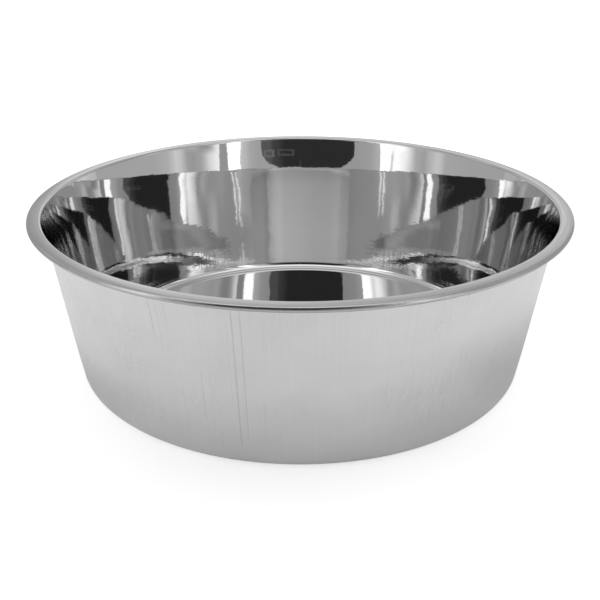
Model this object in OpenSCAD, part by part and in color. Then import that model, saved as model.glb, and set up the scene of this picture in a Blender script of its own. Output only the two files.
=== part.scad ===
// Stainless dog bowl: a round feeding bowl pressed from one steel sheet.
// Z points up, and the origin is the centre of the base on the table.
// The sheet is drawn as a section with radius along X and height along Y,
// and is turned once around the axis. Face 1 of the sheet is the mirror
// side that holds the food, and face -1 is the satin side below and outside.

/* [Bowl] */
// Diameter across the outside of the rim
rim_d = 280; // [200:1:340]
// Height from the table to the top of the rim
bowl_h = 87; // [60:1:130]
// Lean of the straight wall, in degrees from upright
wall_lean = 9.4; // [4:0.1:13]
// Lean that the wall has flared out to where it meets the rim
flare_lean = 15.5; // [14:0.5:24]
// Depth of the flare below the top of the rim
flare_h = 21.5; // [12:0.5:34]
// Thickness of the sheet
sheet_t = 0.6; // [0.4:0.05:0.8]
// Outside radius of the corner between the wall and the base
corner_r = 5; // [3:0.2:12]

/* [Rim] */
// Width of the rim, from the mouth of the bowl to its outer edge
rim_w = 6.8; // [6:0.1:12]
// Radius of the bend from the wall onto the flat of the rim
rim_bend_r = 1.3; // [1:0.1:2.2]
// Outside diameter of the edge that is rolled under
curl_d = 2.7; // [2.2:0.1:3.6]
// Turn of the rolled edge, in degrees
curl_turn = 270; // [180:5:280]

/* [Base] */
// Diameter of the raised middle of the base
panel_d = 108; // [60:1:140]
// Rise of the middle above the ring that the bowl stands on
panel_rise = 1; // [0.4:0.1:2]
// Radius of the two bends between that ring and the middle
panel_bend_r = 9; // [4:0.5:12]

/* [Hidden] */
// Fineness of round things: sides of a full turn, degrees in a step of an arc, steps of the flare
$fn = 180;
arc_step = 7.5;
flare_steps = 8;

// Middle of the rim bend, which also sets the height of the upper seam
bend_z = bowl_h - rim_bend_r;
bend_drop = rim_bend_r * (1 - sin(flare_lean));
bend_mid_r = rim_d / 2 - rim_w - bend_drop * tan(flare_lean) + rim_bend_r * cos(flare_lean);

// Radius and middle of the flare, on the mirror side, from the rim bend to the straight wall
flare_r = (flare_h - bend_drop) / (sin(flare_lean) - sin(wall_lean));
flare_mid_r = bend_mid_r + (flare_r - rim_bend_r) * cos(flare_lean);
flare_mid_z = bend_z - (flare_r - rim_bend_r) * sin(flare_lean);
flare_z = bowl_h - flare_h;

// Middle of the corner bend, which also sets the height of the lower seam
corner_z = corner_r;
corner_mid_r = wall_r(-1, corner_z) - corner_r / cos(wall_lean);

// Middle of the rolled edge
curl_z = bowl_h - curl_d / 2;
curl_mid_r = rim_d / 2 - curl_d / 2;

// The two base bends run along the middle of the sheet and meet at this angle
panel_angle = acos(1 - panel_rise / (2 * panel_bend_r));
panel_r = panel_d / 2;
ring_r = panel_r + 2 * panel_bend_r * sin(panel_angle);

// Radius of a face of the wall at a height: an arc down the flare, then straight
function wall_r(face, z) =
    let (r = flare_r - under_top(face))
    let (arc_z = max(z, flare_mid_z + r * sin(wall_lean)))
    flare_mid_r - sqrt(pow(r, 2) - pow(arc_z - flare_mid_z, 2)) - (arc_z - z) * tan(wall_lean);

// Depth of a face below the mirror side, and its height above the satin side
function under_top(face) = (1 - face) / 2 * sheet_t;
function over_base(face) = (1 + face) / 2 * sheet_t;

// Points of an arc, from one angle to another
function arc(mid, r, from, to) =
    let (n = ceil(abs(to - from) / arc_step))
    [for (i = [0:n]) let (a = from + (to - from) * i / n) mid + r * [cos(a), sin(a)]];

// A list of points the other way round
function backward(points) = [for (i = [len(points) - 1:-1:0]) points[i]];

// One face of the base, from the axis out to the foot of the wall
function base_face(face) = concat(
    [[0, panel_rise + over_base(face)]],
    arc([panel_r, panel_rise + sheet_t / 2 - panel_bend_r],
        panel_bend_r + face * sheet_t / 2, 90, 90 - panel_angle),
    arc([ring_r, sheet_t / 2 + panel_bend_r],
        panel_bend_r - face * sheet_t / 2, 270 - panel_angle, 270),
    arc([corner_mid_r, corner_z], corner_r - over_base(face), -90, -wall_lean),
    [[wall_r(face, corner_z), corner_z]]
);

// One face of the wall, from the lower seam up the straight wall and the flare
function wall_face(face) = concat(
    [[wall_r(face, corner_z), corner_z]],
    [for (i = [0:flare_steps])
        let (z = flare_z + (bend_z - flare_z) * i / flare_steps) [wall_r(face, z), z]]
);

// One face of the rim: over the bend, along the flat and round the rolled edge
function rim_face(face) = concat(
    [[wall_r(face, bend_z), bend_z]],
    arc([bend_mid_r, bend_z], rim_bend_r - under_top(face), 180 - flare_lean, 90),
    arc([curl_mid_r, curl_z], curl_d / 2 - under_top(face), 90, 90 - curl_turn)
);

// A stretch of sheet between its two faces, turned around the axis
module turned_sheet(satin_face, mirror_face)
    rotate_extrude()
        polygon(concat(satin_face, backward(mirror_face)));

// The base: raised middle, standing ring and the bend up into the wall
module floor_pan()
    color([0.80, 0.80, 0.81])
        turned_sheet(base_face(-1), base_face(1));

// The leaning wall, which flares out a little towards the rim
module side_wall()
    color([0.74, 0.74, 0.75])
        turned_sheet(wall_face(-1), wall_face(1));

// The rim: bent outward, flat on top, with its edge rolled under
module rolled_rim()
    color([0.68, 0.68, 0.70])
        turned_sheet(rim_face(-1), rim_face(1));

floor_pan();
side_wall();
rolled_rim();
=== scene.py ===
"""A stainless dog bowl pressed from one sheet, polished inside and left satin outside.

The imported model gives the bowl's size. Each of its three solids is replaced by a finer turned
sheet of the same section: a mirror side that holds the food and a satin side below and outside.
The bowl stands in a tent of white cloth with a dark opening for the camera, because that is
what the polished wall and floor mirror. The camera doesn't see the tent, only the white floor.
Lengths are in millimetres, and MM turns them into Blender's metres.
"""

import math

import bpy
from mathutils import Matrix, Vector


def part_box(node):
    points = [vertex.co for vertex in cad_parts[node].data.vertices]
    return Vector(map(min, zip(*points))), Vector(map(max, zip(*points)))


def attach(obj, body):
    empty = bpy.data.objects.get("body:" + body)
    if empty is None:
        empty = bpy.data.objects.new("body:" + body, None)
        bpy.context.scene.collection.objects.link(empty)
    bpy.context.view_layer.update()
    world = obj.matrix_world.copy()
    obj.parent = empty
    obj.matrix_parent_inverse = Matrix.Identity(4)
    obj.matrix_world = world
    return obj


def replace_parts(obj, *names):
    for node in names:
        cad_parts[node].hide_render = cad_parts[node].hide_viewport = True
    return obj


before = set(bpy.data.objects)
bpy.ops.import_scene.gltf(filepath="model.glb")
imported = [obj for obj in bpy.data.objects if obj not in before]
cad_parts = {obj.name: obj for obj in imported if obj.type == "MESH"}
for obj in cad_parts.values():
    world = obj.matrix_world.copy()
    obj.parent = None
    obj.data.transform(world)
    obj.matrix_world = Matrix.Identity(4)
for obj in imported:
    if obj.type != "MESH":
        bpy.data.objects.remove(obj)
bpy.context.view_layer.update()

MM = 0.001

# The bowl. Its width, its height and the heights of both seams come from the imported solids. Its
# edge is rolled under by CURL_TURN degrees.
RIM_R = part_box("rolled_rim")[1].x / MM
BOWL_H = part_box("rolled_rim")[1].z / MM
CORNER_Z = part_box("side_wall")[0].z / MM
BEND_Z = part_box("side_wall")[1].z / MM
SHEET = 0.6
RIM_W = 6.8
CURL_R = 1.35
CURL_TURN = 270

# The wall: its lean where it is straight, at the top of the flare and at the corner, then how
# far the flare reaches down from the rim, and the height where the foot starts to ease.
WALL_LEAN = math.radians(9.4)
FLARE_LEAN = math.radians(15.5)
FOOT_LEAN = math.radians(10.8)
FLARE_H = 21.5
FOOT_H = 22

# The raised middle of the base, crowned at its edge by CROWN_ANGLE degrees, and the two bends
# from it down to the ring.
PANEL_R = 54
PANEL_RISE = 1
PANEL_BEND_R = 9
CROWN_R = 230
CROWN_ANGLE = 2.5

# Fineness of the sheet: sides of a full turn, radius of the fan of faces in the middle, degrees in
# a step of an arc, steps of a stretch, and how near its ends the level ring gets an edge of its
# own, which keeps its shading level.
TURN_SIDES = 512
FAN_R = 20
CROWN_STEP, PANEL_STEP, CORNER_STEP, BEND_STEP, CURL_STEP = 0.4, 2, 3, 5, 7.5
FOOT_STEPS, FLARE_STEPS = 10, 24
AFTER_BEND, BEFORE_CORNER = 2, 1
SMOOTH_ANGLE = math.radians(30)

# The bend onto the rim, and the flare that runs on smoothly from it to the straight wall.
BEND_R = BOWL_H - BEND_Z
BEND_DROP = BEND_R * (1 - math.sin(FLARE_LEAN))
BEND_MID_R = RIM_R - RIM_W - BEND_DROP * math.tan(FLARE_LEAN) + BEND_R * math.cos(FLARE_LEAN)
FLARE_R = (FLARE_H - BEND_DROP) / (math.sin(FLARE_LEAN) - math.sin(WALL_LEAN))
FLARE_MID_R = BEND_MID_R + (FLARE_R - BEND_R) * math.cos(FLARE_LEAN)
FLARE_MID_Z = BEND_Z - (FLARE_R - BEND_R) * math.sin(FLARE_LEAN)


def wall_radius(z):
    """Radius of the mirror side of the wall: an arc down the flare, straight, eased at the foot."""
    arc_z = max(z, BOWL_H - FLARE_H)
    depth = math.sqrt(FLARE_R ** 2 - (arc_z - FLARE_MID_Z) ** 2)
    ease = (math.tan(FOOT_LEAN) - math.tan(WALL_LEAN)) * max(0, FOOT_H - z) ** 2
    foot = ease / 2 / (FOOT_H - CORNER_Z)
    return FLARE_MID_R - depth - (arc_z - z) * math.tan(WALL_LEAN) - foot


def arc(middle, radius, start, end, step):
    """Points of an arc in the section, with its angles and its step in degrees."""
    count = math.ceil(abs(end - start) / step)
    angles = [math.radians(start + (end - start) * i / count) for i in range(count + 1)]
    return [(middle[0] + radius * math.cos(a), middle[1] + radius * math.sin(a)) for a in angles]


def levels(low, high, steps):
    """Evenly spaced heights, both ends included."""
    return [low + (high - low) * i / steps for i in range(steps + 1)]


def floor_section():
    """Mirror side of the base: middle, crowned edge, two bends, ring and corner."""
    panel_z = PANEL_RISE + SHEET
    crown = math.radians(CROWN_ANGLE)
    crown_mid = (PANEL_R - CROWN_R * math.sin(crown), panel_z - CROWN_R)
    edge_z = PANEL_RISE - CROWN_R * (1 - math.cos(crown))

    # Both bends run along the middle of the sheet and meet at the steepest angle between them.
    steepest = math.acos((1 + math.cos(crown)) / 2 - edge_z / (2 * PANEL_BEND_R))
    meeting = math.degrees(steepest)
    outer_r, inner_r = PANEL_BEND_R + SHEET / 2, PANEL_BEND_R - SHEET / 2
    bend_mid = (PANEL_R - outer_r * math.sin(crown), edge_z + SHEET - outer_r * math.cos(crown))
    ring_r = bend_mid[0] + 2 * PANEL_BEND_R * math.sin(steepest)
    ring_mid = (ring_r, SHEET / 2 + PANEL_BEND_R)

    corner_mid_r = wall_radius(CORNER_Z) - (CORNER_Z - SHEET) / math.cos(FOOT_LEAN)
    corner_mid = (corner_mid_r, CORNER_Z)
    return (
        [(0, panel_z), (FAN_R, panel_z)]
        + arc(crown_mid, CROWN_R, 90, 90 - CROWN_ANGLE, CROWN_STEP)
        + arc(bend_mid, outer_r, 90 - CROWN_ANGLE, 90 - meeting, PANEL_STEP)[1:]
        + arc(ring_mid, inner_r, 270 - meeting, 270, PANEL_STEP)
        + [(ring_r + AFTER_BEND, SHEET), (corner_mid_r - BEFORE_CORNER, SHEET)]
        + arc(corner_mid, CORNER_Z - SHEET, -90, -math.degrees(FOOT_LEAN), CORNER_STEP)
        + [(wall_radius(CORNER_Z), CORNER_Z)]
    )


def wall_section():
    """Mirror side of the wall: the eased foot, the straight wall and the flare."""
    foot = levels(CORNER_Z, FOOT_H, FOOT_STEPS)
    flare = levels(BOWL_H - FLARE_H, BEND_Z, FLARE_STEPS)
    return [(wall_radius(z), z) for z in foot + flare]


def rim_section():
    """Upper side of the rim: over the bend, along the flat and round the rolled edge."""
    curl_mid = (RIM_R - CURL_R, BOWL_H - CURL_R)
    return (
        [(wall_radius(BEND_Z), BEND_Z)]
        + arc((BEND_MID_R, BEND_Z), BEND_R, 180 - math.degrees(FLARE_LEAN), 90, BEND_STEP)
        + arc(curl_mid, CURL_R, 90, 90 - CURL_TURN, CURL_STEP)
    )


def turn_sheet(name, section, mirror_side, satin_side):
    """Turn the mirror side of a section around the axis, then thicken it behind."""
    bpy.ops.object.select_all(action="DESELECT")
    from_axis = section[0][0] == 0
    rings = section[1:] if from_axis else section
    bpy.ops.mesh.primitive_circle_add(
        vertices=TURN_SIDES,
        radius=rings[0][0] * MM,
        location=(0, 0, rings[0][1] * MM),
        fill_type="TRIFAN" if from_axis else "NOTHING",
    )
    piece = bpy.context.object
    piece.name = piece.data.name = name
    for finish in (mirror_side, satin_side):
        piece.data.materials.append(finish)
    bpy.ops.object.transform_apply(location=True)
    bpy.ops.object.mode_set(mode="EDIT")
    bpy.ops.mesh.select_mode(type="EDGE")
    if from_axis:
        bpy.ops.mesh.region_to_loop()
    for (radius, z), (next_radius, next_z) in zip(rings, rings[1:]):
        bpy.ops.mesh.extrude_edges_move(
            TRANSFORM_OT_translate={"value": (0, 0, (next_z - z) * MM)}
        )
        widen = next_radius / radius
        bpy.ops.transform.resize(value=(widen, widen, 1), center_override=(0, 0, 0))
    bpy.ops.mesh.select_all(action="SELECT")
    bpy.ops.mesh.normals_make_consistent(inside=False)
    bpy.ops.object.mode_set(mode="OBJECT")
    # The first faces of each section have to look up, because the sheet thickens behind them.
    if piece.data.polygons[0].normal.z < 0:
        bpy.ops.object.mode_set(mode="EDIT")
        bpy.ops.mesh.flip_normals()
        bpy.ops.object.mode_set(mode="OBJECT")
    sheet = piece.modifiers.new("sheet", "SOLIDIFY")
    sheet.thickness = SHEET * MM
    sheet.offset = -1
    sheet.use_even_offset = True
    sheet.material_offset = 1
    sheet.material_offset_rim = 1
    bpy.ops.object.modifier_apply(modifier=sheet.name)
    bpy.ops.object.shade_smooth_by_angle(angle=SMOOTH_ANGLE)
    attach(piece, "root")
    return piece


class Wire:
    """A socket in a material. An expression on it adds the Math nodes that work it out."""

    def __init__(self, finish, socket):
        self.finish = finish
        self.socket = socket

    def maths(self, operation, first, second=0):
        return self.finish.add("ShaderNodeMath", {"operation": operation}, {0: first, 1: second})

    def __add__(self, other):
        return self.maths("ADD", self, other)

    __radd__ = __add__

    def __sub__(self, other):
        return self.maths("SUBTRACT", self, other)

    def __rsub__(self, other):
        return self.maths("SUBTRACT", other, self)

    def __mul__(self, other):
        return self.maths("MULTIPLY", self, other)

    __rmul__ = __mul__

    def __truediv__(self, other):
        return self.maths("DIVIDE", self, other)

    def __abs__(self):
        return self.maths("ABSOLUTE", self)

    def root(self):
        return self.maths("SQRT", self)


class Finish:
    """A material, and the one way in which its nodes are added."""

    def __init__(self, name):
        self.material = bpy.data.materials.new(name)
        self.material.use_nodes = True
        self.tree = self.material.node_tree
        self.tree.nodes.clear()

    def add(self, kind, settings=None, inputs=None, output=0):
        node = self.tree.nodes.new(kind)
        for setting, value in (settings or {}).items():
            if setting == "stops":
                self.set_stops(node.color_ramp, value)
            else:
                setattr(node, setting, value)
        for socket, value in (inputs or {}).items():
            if isinstance(value, Wire):
                self.tree.links.new(value.socket, node.inputs[socket])
            else:
                node.inputs[socket].default_value = value
        return Wire(self, node.outputs[output]) if node.outputs else node

    @staticmethod
    def set_stops(ramp, stops):
        while len(ramp.elements) < len(stops):
            ramp.elements.new(1)
        for element, (mark, level) in zip(ramp.elements, stops):
            element.position = mark
            element.color = (level, level, level, 1)

    def place(self, output="Object"):
        return self.add("ShaderNodeTexCoord", output=output)

    def surface(self, shader):
        self.add("ShaderNodeOutputMaterial", inputs={"Surface": shader})
        return self.material


def position(finish, count=3):
    """X, Y and Z of a point in millimetres, or as many of them as are asked for."""
    place = finish.place()
    return [
        finish.add("ShaderNodeSeparateXYZ", inputs={0: place}, output=i) / MM for i in range(count)
    ]


def radius_of(x, y):
    """Distance from the axis."""
    return (x * x + y * y).root()


def angle_of(x, y):
    """Angle around the axis, in radians from the front."""
    return x.maths("ARCTAN2", x, 0 - y)


def streaks(finish, across, along, detail=2.0):
    """Noise that is fine across the streaks and long in their own direction."""
    place = finish.add("ShaderNodeCombineXYZ", inputs={0: across, 1: along})
    return finish.add(
        "ShaderNodeTexNoise", inputs={"Vector": place, "Scale": 1.0, "Detail": detail}
    )


def between(finish, value, low, high):
    """0 below the low value, 1 above the high one, and a straight ramp from one to the other."""
    return finish.add("ShaderNodeMapRange", inputs={0: value, 1: low, 2: high, 3: 0, 4: 1})


def grey(finish, level):
    """A colour from a brightness."""
    return finish.add("ShaderNodeCombineColor", inputs={0: level, 1: level, 2: level})


def steel(finish, level, roughness, bump):
    """The surface of bare steel, which reflects in its own grey."""
    return finish.add(
        "ShaderNodeBsdfPrincipled",
        inputs={
            "Base Color": grey(finish, level),
            "Metallic": 1.0,
            "Roughness": roughness,
            "Normal": bump,
        },
    )


def relief(finish, height, depth):
    """A bump whose height runs from 0 to 1 over a depth in millimetres."""
    return finish.add("ShaderNodeBump", inputs={"Distance": depth * MM, "Height": height})


# The three finishes. GREY is a brightness, ROUGH a roughness, DEPTH the whole relief in mm and
# HEIGHT a share of it. ROUND is how fast a pattern changes per radian around the bowl, and ALONG
# or ACROSS how fast per mm. RANGE is the range of a noise that is stretched to run from 0 to 1.
# A START or an END is a pair of places, in mm or radians, between which something fades in or out.
MIRROR_GREY, MIRROR_ROUGH, MIRROR_DEPTH = 0.66, 0.018, 0.25
WAVE_ROUND, WAVE_ALONG, WAVE_HEIGHT = 9, 0.06, 0.2
RIPPLE_ROUND, RIPPLE_ALONG, RIPPLE_HEIGHT = 36, 0.5, 0.03
WAVE_START = (104, 116)
HAZE_ROUND, HAZE_ALONG, HAZE_ROUGH = 40, 0.02, 0.03
TICK_ROUND, TICK_ALONG, TICK_HEIGHT = 90, 0.12, 0.3
TICK_GREY, TICK_ROUGH, TICK_RANGE = 0.31, 0.05, (0.4, 0.54)
CORNER_START, CORNER_END = (114.4, 115.6), (5.5, 8)
PATCH_START, PATCH_END = (1.0, 1.2), (2.2, 2.35)


def mirror_steel():
    """Polished, with faint waves up the wall and tool ticks across the corner bend."""
    finish = Finish("mirror_steel")
    x, y, z = position(finish)
    radius, angle = radius_of(x, y), angle_of(x, y)
    waves = streaks(finish, angle * WAVE_ROUND, z * WAVE_ALONG, 1.0)
    ripples = streaks(finish, angle * RIPPLE_ROUND, z * RIPPLE_ALONG, 1.0)
    haze = streaks(finish, angle * HAZE_ROUND, z * HAZE_ALONG)
    ticks = streaks(finish, angle * TICK_ROUND, radius * TICK_ALONG + z * TICK_ALONG)
    aside = abs(angle)
    patches = between(finish, aside, *PATCH_START) * (1 - between(finish, aside, *PATCH_END))
    corner = between(finish, radius, *CORNER_START) * (1 - between(finish, z, *CORNER_END))
    wall = between(finish, radius, *WAVE_START)
    height = wall * (waves * WAVE_HEIGHT + ripples * RIPPLE_HEIGHT)
    height = height + ticks * patches * corner * TICK_HEIGHT
    rough = MIRROR_ROUGH + haze * HAZE_ROUGH + corner * ticks * TICK_ROUGH
    level = MIRROR_GREY + corner * patches * between(finish, ticks, *TICK_RANGE) * TICK_GREY
    return finish.surface(steel(finish, level, rough, relief(finish, height, MIRROR_DEPTH)))


SATIN_GREY, SATIN_ROUGH, SATIN_DEPTH = 0.668, 0.23, 0.03
GRAIN_ROUND, GRAIN_ALONG, GRAIN_GREY = 150, 0.02, 0.06
GRAIN_ROUGH, GRAIN_HEIGHT = 0.06, 0.5
CLOUD_SCALE, CLOUD_STRETCH, CLOUD_GREY = 26, (1, 1, 1.6), 0.13
CLOUD_ROUGH, CLOUD_HEIGHT = 0.05, 0.3
NOISE_MIDDLE = 0.5
SCORED_GREY, SCORED_FADE = 0.5, 6
FINE_ROUND, FINE_ALONG, FINE_RANGE, FINE_GREY = 330, 0.01, (0.62, 0.74), 0.17
FINE_START, FINE_PATCH_ROUND, FINE_PATCH_RANGE = (45, 84), 5, (0.5, 0.6)

# Draw lines on the outside: degrees from the front, half width in degrees, the heights where the
# line starts and ends, and its depth as a share.
DRAW_LINES = [
    (-12.2, 0.17, 8, 84, 0.5),
    (-10.6, 0.15, 14, 84, 0.42),
    (-13.3, 0.1, 30, 70, 0.2),
    (-19.4, 0.14, 20, 52, 0.3),
    (-28.5, 0.13, 58, 84, 0.45),
    (-27, 0.12, 52, 82, 0.3),
    (-25.3, 0.12, 66, 84, 0.3),
    (-7, 0.12, 18, 40, 0.2),
    (17, 0.12, 30, 84, 0.12),
]


def scored_line(finish, angle, place, width, z, low, high):
    """A thin draw line down the outside, which fades out at both ends."""
    off = abs(angle - math.radians(place))
    line = 1 - between(finish, off, 0, math.radians(width))
    line = line * between(finish, z, low, low + SCORED_FADE)
    return line * (1 - between(finish, z, high - SCORED_FADE, high))


def fine_lines(finish, angle, z):
    """Hair lines under the rim, in patches around the bowl."""
    hairs = streaks(finish, angle * FINE_ROUND, z * FINE_ALONG, 1.0)
    patches = between(finish, streaks(finish, angle * FINE_PATCH_ROUND, 0), *FINE_PATCH_RANGE)
    under_rim = between(finish, z, *FINE_START) * patches
    return between(finish, hairs, *FINE_RANGE) * under_rim


def satin_steel():
    """Left dull from the press, with upright draw lines and faint cloudy patches."""
    finish = Finish("satin_steel")
    x, y, z = position(finish)
    angle = angle_of(x, y)
    grain = streaks(finish, angle * GRAIN_ROUND, z * GRAIN_ALONG, 3.0)
    spread = finish.add(
        "ShaderNodeMapping", inputs={"Vector": finish.place(), "Scale": CLOUD_STRETCH}
    )
    clouds = finish.add(
        "ShaderNodeTexNoise", inputs={"Vector": spread, "Scale": CLOUD_SCALE, "Detail": 3.0}
    )
    scored = 0
    for place, width, low, high, depth in DRAW_LINES:
        scored = scored + scored_line(finish, angle, place, width, z, low, high) * depth
    level = SATIN_GREY + (clouds - NOISE_MIDDLE) * CLOUD_GREY + (grain - NOISE_MIDDLE) * GRAIN_GREY
    level = level * (1 - scored * SCORED_GREY - fine_lines(finish, angle, z) * FINE_GREY)
    rough = SATIN_ROUGH + grain * GRAIN_ROUGH + clouds * CLOUD_ROUGH
    height = grain * GRAIN_HEIGHT + clouds * CLOUD_HEIGHT - scored
    return finish.surface(steel(finish, level, rough, relief(finish, height, SATIN_DEPTH)))


RIM_GREY, RIM_ROUGH, RIM_DEPTH = 0.74, 0.13, 0.05
TURNED_ACROSS, TURNED_ROUND, TURNED_RANGE = 2.2, 4, (0.35, 0.65)
TURNED_GREY, TURNED_ROUGH = 0.12, 0.08
# The rolled edge and the bend at the mouth are painted darker: painted shade that stands in for
# darker reflections there.
ROLL_START, ROLL_PAINTED_SHADE, ROLL_ROUGH = (134.4, 139.4), 0.22, 0.1
MOUTH_SHADE_END, MOUTH_PAINTED_SHADE = (133.6, 134.6), 0.14


def turned_steel():
    """Turned bright on a lathe: fine lines that run round the rim, and painted shade on roll and
    mouth.
    """
    finish = Finish("turned_steel")
    x, y, z = position(finish)
    radius, angle = radius_of(x, y), angle_of(x, y)
    across = radius * TURNED_ACROSS + z * TURNED_ACROSS
    lines = streaks(finish, across, angle * TURNED_ROUND, 3.0)
    sharp = between(finish, lines, *TURNED_RANGE)
    # The roll gets more roughness and painted shade towards its edge; the mouth of the bend gets
    # painted shade.
    roll = between(finish, radius, *ROLL_START)
    mouth_shade = 1 - between(finish, radius, *MOUTH_SHADE_END)
    level = RIM_GREY - sharp * TURNED_GREY - roll * ROLL_PAINTED_SHADE - mouth_shade * MOUTH_PAINTED_SHADE
    rough = RIM_ROUGH + sharp * TURNED_ROUGH + roll * ROLL_ROUGH
    return finish.surface(steel(finish, level, rough, relief(finish, lines, RIM_DEPTH)))


mirror = mirror_steel()
satin = satin_steel()
turned = turned_steel()
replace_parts(turn_sheet("floor_sheet", floor_section(), mirror, satin), "floor_pan")
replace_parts(turn_sheet("wall_sheet", wall_section(), mirror, satin), "side_wall")
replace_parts(turn_sheet("rim_sheet", rim_section(), turned, satin), "rolled_rim")


# The stage: the tent of cards around the bowl, with a dark opening in front.
FRONT_Y, FAR_FRONT_Y, BACK_Y = -290, -375, 300
SIDE_X = 400
SIDE_START = -400
TENT_H = 700
UP = math.pi / 2

# The heights between which a card's lower light gives way to its upper light.
UPPER_START, UPPER_END = 195, 235


def plain(level):
    """The same light from one end of a card to the other."""
    return [(0, level), (1, level)]


def shares(start, end, marks):
    """Marks given as places in millimetres, as shares of the card's width or height."""
    return [((mark - start) / (end - start), level) for mark, level in marks]


def cloth(name, low, high, fall):
    """White cloth, lit as the stops say: low down, high up, and how the light falls off upward."""
    finish = Finish(name)
    brightest = max(level for mark, level in low + high)
    uv = finish.place("UV")
    across, up = (finish.add("ShaderNodeSeparateXYZ", inputs={0: uv}, output=i) for i in (0, 1))

    def lit(stops, along, scale):
        scaled = [(mark, level / scale) for mark, level in stops]
        return finish.add("ShaderNodeValToRGB", {"stops": scaled}, {"Fac": along})

    upper = lit([(UPPER_START / TENT_H, 0), (UPPER_END / TENT_H, 1)], up, 1)
    low_glow, high_glow = lit(low, across, brightest), lit(high, across, brightest)
    level = (low_glow + (high_glow - low_glow) * upper) * lit(fall, up, 1) * brightest
    return finish.surface(finish.add("ShaderNodeEmission", inputs={"Color": grey(finish, level)}))


def card(name, middle, size, turn, material):
    """A card of the tent, which only light and reflections find."""
    bpy.ops.object.select_all(action="DESELECT")
    bpy.ops.mesh.primitive_plane_add(size=MM, location=[v * MM for v in middle], rotation=turn)
    piece = bpy.context.object
    piece.name = name
    piece.scale = (*size, 1)
    piece.visible_camera = False
    piece.data.materials.append(material)


def edit_card():
    """Settle the size of the card just made in its mesh, and take all of it into edit mode."""
    bpy.ops.object.transform_apply(location=False, rotation=False, scale=True)
    bpy.ops.object.mode_set(mode="EDIT")
    bpy.ops.mesh.select_all(action="SELECT")


def upright(name, facing, plane, low, high=None, fall=((0, 1), (TENT_H, 1))):
    """A card that stands on the floor, from the first to the last place of its lower light."""
    start, end = low[0][0], low[-1][0]
    material = cloth(
        name + "_cloth",
        shares(start, end, low),
        shares(start, end, high or low),
        shares(0, TENT_H, fall),
    )
    centre = (start + end) / 2
    middle = (centre, plane, TENT_H / 2) if facing == "Y" else (plane, centre, TENT_H / 2)
    turn = (UP, 0, 0) if facing == "Y" else (UP, 0, UP)
    card(name, middle, (end - start, TENT_H), turn, material)


# Light on each card, as places along it in mm with the brightness there, and for the back also
# heights with the share of it that is left. It changes where the lengths of cloth meet or fold,
# and in between it fades. All were set after brightness that was measured in the photograph's
# reflections.
FRONT = [
    (-318, 0.62), (-295, 0.6), (-262, 0.5), (-200, 0.46), (135, 0.5), (170, 0.56), (185, 0.66),
]
FAR_FRONT = [
    (150, 0.66), (240, 0.7), (262, 0.8), (268, 2.2), (332, 2.2), (341, 0.5), (350, 0.42),
    (480, 0.45),
]
LEFT_LOW = [
    (SIDE_START, 2.2), (-330, 2.2), (-306, 2.0), (-301, 0.95), (-287, 0.95), (-281, 1.5),
    (-250, 1.5), (-205, 1.25), (-180, 0.95), (-152, 0.58), (-110, 0.5), (-85, 0.64),
    (-50, 0.8), (-28, 0.74), (-10, 0.56), (100, 0.52), (BACK_Y, 0.5),
]
LEFT_HIGH = [
    (SIDE_START, 2.3), (-310, 2.2), (-290, 1.5), (-272, 1.45), (-256, 1.8), (-232, 1.75),
    (-208, 1.45), (-185, 1.05), (-165, 0.64), (-150, 0.56), (-112, 0.75), (-72, 0.58),
    (30, 0.64), (60, 0.57), (110, 0.54), (140, 0.62), (160, 0.82), (185, 0.82), (210, 0.7),
    (BACK_Y, 0.6),
]
RIGHT_LOW = [
    (SIDE_START, 0.8), (-382, 1.25), (-345, 1.22), (-300, 0.98), (-270, 0.72), (-245, 0.54),
    (-200, 0.46), (-165, 0.5), (-130, 0.8), (-108, 0.86), (-72, 0.62), (0, 0.54), (BACK_Y, 0.52),
]
RIGHT_HIGH = [
    (SIDE_START, 0.8), (-382, 1.3), (-350, 1.15), (-315, 0.6), (-280, 0.42), (-245, 0.43),
    (-200, 0.66), (-160, 0.6), (-90, 0.68), (-35, 0.66), (-20, 0.8), (25, 0.8), (38, 0.6),
    (90, 0.54), (220, 0.5), (BACK_Y, 0.46),
]
BACK = [
    (-SIDE_X, 0.6), (-275, 0.6), (-224, 0.5), (-212, 0.68), (-168, 0.92), (-128, 0.98),
    (-100, 0.88), (0, 0.82), (80, 0.76), (180, 0.76), (260, 0.83), (300, 0.72), (SIDE_X, 0.68),
]
BACK_FALL = [
    (160, 1), (205, 0.94), (293, 0.8), (345, 0.72), (400, 1.05), (450, 0.9), (520, 0.72),
    (TENT_H, 0.7),
]

upright("front_card", "Y", FRONT_Y, FRONT)
upright("far_front_card", "Y", FAR_FRONT_Y, FAR_FRONT)
upright("back_card", "Y", BACK_Y, BACK, fall=BACK_FALL)
upright("left_card", "X", -SIDE_X, LEFT_LOW, LEFT_HIGH)
upright("right_card", "X", SIDE_X, RIGHT_LOW, RIGHT_HIGH)

# The card overhead, dimmer towards the back.
TOP_GLOW = 1.25
TOP_FALL = [(0, 1), (0.6, 1), (0.85, 0.45), (1, 0.42)]
card(
    "top_card",
    (0, (SIDE_START + BACK_Y) / 2, TENT_H),
    (2 * SIDE_X, BACK_Y - SIDE_START),
    (0, 0, 0),
    cloth("top_cloth", plain(TOP_GLOW), plain(TOP_GLOW), TOP_FALL),
)

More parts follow.
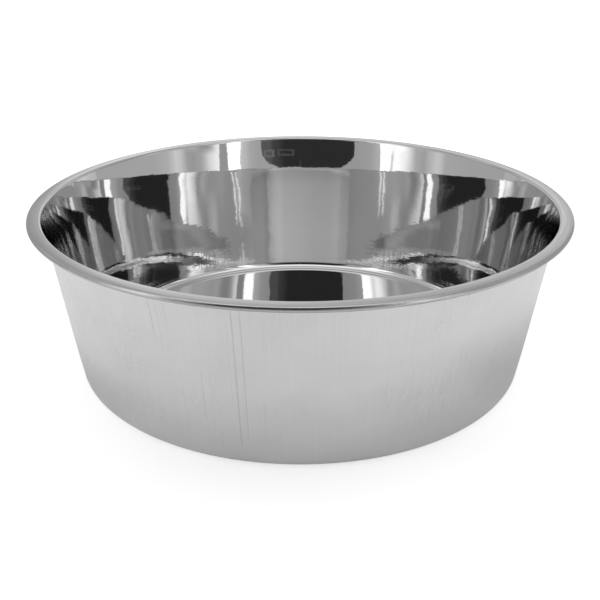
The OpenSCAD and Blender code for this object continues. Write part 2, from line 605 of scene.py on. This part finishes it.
# Narrow bright gaps between the lengths of cloth at the sides: plane, place, width and lean.
GAP_LOW, GAP_HIGH = 195, 400
GAP_IN_FRONT = 3
GAP_GLOW, GAP_FALL = 1.6, [(0, 0.7), (0.2, 1)]
GAP_LEAN = math.radians(-11)
gap_light = cloth("gap_light", plain(GAP_GLOW), plain(GAP_GLOW), GAP_FALL)
for name, plane, place, width, lean in (
    ("left_gap_near", GAP_IN_FRONT - SIDE_X, 125, 14, GAP_LEAN),
    ("left_gap_far", GAP_IN_FRONT - SIDE_X, 163, 14, GAP_LEAN),
    ("right_gap_near", SIDE_X - GAP_IN_FRONT, -14, 11, 0),
    ("right_gap_far", SIDE_X - GAP_IN_FRONT, 16, 11, 0),
):
    middle = (plane, place, (GAP_LOW + GAP_HIGH) / 2)
    card(name, middle, (width, GAP_HIGH - GAP_LOW), (UP, lean, UP), gap_light)

# The dark opening, with its corners cut off, and the frames of two panes far off in it.
OPENING_LEFT, OPENING_RIGHT = -188, 128
OPENING_LOW, OPENING_HIGH = 102, 780
OPENING_IN_FRONT = 2
OPENING_CUT, OPENING_CUT_STEPS, OPENING_CUT_SHAPE = 58, 3, 0.35
PANE_IN_FRONT = 4
PANE_LOW, PANE_HIGH = 148, 176
PANE_FRAME = 7


def dark_room():
    """The room seen through the opening, a little less dark towards its right side."""
    finish = Finish("dark_room")
    across = finish.add("ShaderNodeSeparateXYZ", inputs={0: finish.place("UV")})
    stops = [(0.75, 0.035), (0.8, 0.06), (0.87, 0.08), (0.9, 0.13)]
    room = finish.add("ShaderNodeValToRGB", {"stops": stops}, {"Fac": across})
    return finish.surface(finish.add("ShaderNodeEmission", inputs={"Color": room}))


def tent_opening():
    """The opening in the front cloth."""
    middle_x = (OPENING_LEFT + OPENING_RIGHT) / 2
    middle_z = (OPENING_LOW + OPENING_HIGH) / 2
    size = (OPENING_RIGHT - OPENING_LEFT, OPENING_HIGH - OPENING_LOW)
    middle = (middle_x, FRONT_Y + OPENING_IN_FRONT, middle_z)
    card("tent_opening", middle, size, (UP, 0, 0), dark_room())
    edit_card()
    bpy.ops.mesh.bevel(
        offset=OPENING_CUT * MM,
        segments=OPENING_CUT_STEPS,
        affect="VERTICES",
        profile=OPENING_CUT_SHAPE,
    )
    bpy.ops.object.mode_set(mode="OBJECT")


def pane(name, left, right, level):
    """A faint frame seen through the opening, such as a window far off in the dark room."""
    middle = ((left + right) / 2, FRONT_Y + PANE_IN_FRONT, (PANE_LOW + PANE_HIGH) / 2)
    glow = cloth(name + "_glow", plain(level), plain(level), plain(1))
    card(name, middle, (right - left, PANE_HIGH - PANE_LOW), (UP, 0, 0), glow)
    edit_card()
    bpy.ops.mesh.inset(thickness=PANE_FRAME * MM)
    bpy.ops.mesh.delete(type="FACE")
    bpy.ops.object.mode_set(mode="OBJECT")


tent_opening()
pane("far_pane", 20, 70, 0.1)
pane("near_pane", 82, 120, 0.2)


# The floor. It takes the bowl's shadow, and a little glow of its own brings it to white. In a
# reflection the glow is weaker near the bowl, as a painted shadow of the bowl that lies a little to
# the right, and there weaker still towards both sides as painted shade.
TABLE_SIZE, TABLE_DROP = 8000, 0.05
PAPER_WHITE = (0.9, 0.9, 0.9, 1)
CAMERA_GLOW, SHADOW_GLOW, CLEAR_GLOW = 0.55, 0.11, 0.19
# The painted shadow in the reflected glow is centred this far right of the bowl and fades out
# between these radii; towards both sides it is painted darker still.
SHADOW_X, SHADOW_END = 16, (112, 165)
SIDE_SHADE_X, SIDE_SHADE_START, SIDE_SHADE_DIM = 8, (90, 120), 0.9


def backdrop_share(finish):
    """How much of its own glow the floor shows the camera, a mirror or a view through glass."""
    camera_ray, mirror_ray, glass_ray = (
        finish.add("ShaderNodeLightPath", output=name)
        for name in ("Is Camera Ray", "Is Glossy Ray", "Is Transmission Ray")
    )
    x, y = position(finish, 2)
    # Painted shadow: the glow a mirror sees is weaker near the bowl, centred a little to its right,
    # and painted darker still towards both sides.
    x = x - SHADOW_X
    clear = between(finish, radius_of(x, y), *SHADOW_END)
    side_shade = between(finish, abs(x + (SHADOW_X - SIDE_SHADE_X)), *SIDE_SHADE_START) * (1 - clear)
    share = (clear * CLEAR_GLOW + SHADOW_GLOW) * (1 - side_shade * SIDE_SHADE_DIM)
    return camera_ray * CAMERA_GLOW + (mirror_ray + glass_ray) * share


def white_paper():
    """White paper, clear from below, so that the bowl's underside can be looked at."""
    paper = Finish("white_paper")
    matt = paper.add("ShaderNodeBsdfDiffuse", inputs={"Color": PAPER_WHITE})
    glow = paper.add("ShaderNodeEmission", inputs={"Color": grey(paper, backdrop_share(paper))})
    lit_paper = paper.add("ShaderNodeAddShader", inputs={0: matt, 1: glow})
    below = paper.add("ShaderNodeNewGeometry", output="Backfacing")
    clear = paper.add("ShaderNodeBsdfTransparent")
    return paper.surface(
        paper.add("ShaderNodeMixShader", inputs={0: below, 1: lit_paper, 2: clear})
    )


bpy.ops.object.select_all(action="DESELECT")
bpy.ops.mesh.primitive_plane_add(size=TABLE_SIZE * MM, location=(0, 0, -TABLE_DROP * MM))
table = bpy.context.object
table.name = "white_table"
table.data.materials.append(white_paper())

# The world is the white backdrop, and lights what the tent leaves open.
world = bpy.data.worlds.new("white_backdrop")
world.use_nodes = True
backdrop = world.node_tree.nodes["Background"]
backdrop.inputs["Color"].default_value = (1, 1, 1, 1)
backdrop.inputs["Strength"].default_value = 1

# The camera, at the photograph's place. Its tilt is in degrees, and its shifts are shares of the
# frame's width.
CAMERA_X, CAMERA_Y, CAMERA_Z = 0, -451.6, 229.4
CAMERA_TILT = 70.5
view = bpy.data.cameras.new("camera")
view.lens = 53.52
view.sensor_width = 36
view.shift_x = -0.0004
view.shift_y = -0.1186
view.clip_start = 10 * MM
camera = bpy.data.objects.new("camera", view)
camera.location = (CAMERA_X * MM, CAMERA_Y * MM, CAMERA_Z * MM)
camera.rotation_euler = (math.radians(CAMERA_TILT), 0, 0)

scene = bpy.context.scene
scene.world = world
scene.collection.objects.link(camera)
scene.camera = camera
scene.view_settings.view_transform = "Standard"

# Light is followed through the many mirrorings between the wall and the floor.
scene.cycles.max_bounces = 16
scene.cycles.glossy_bounces = 14
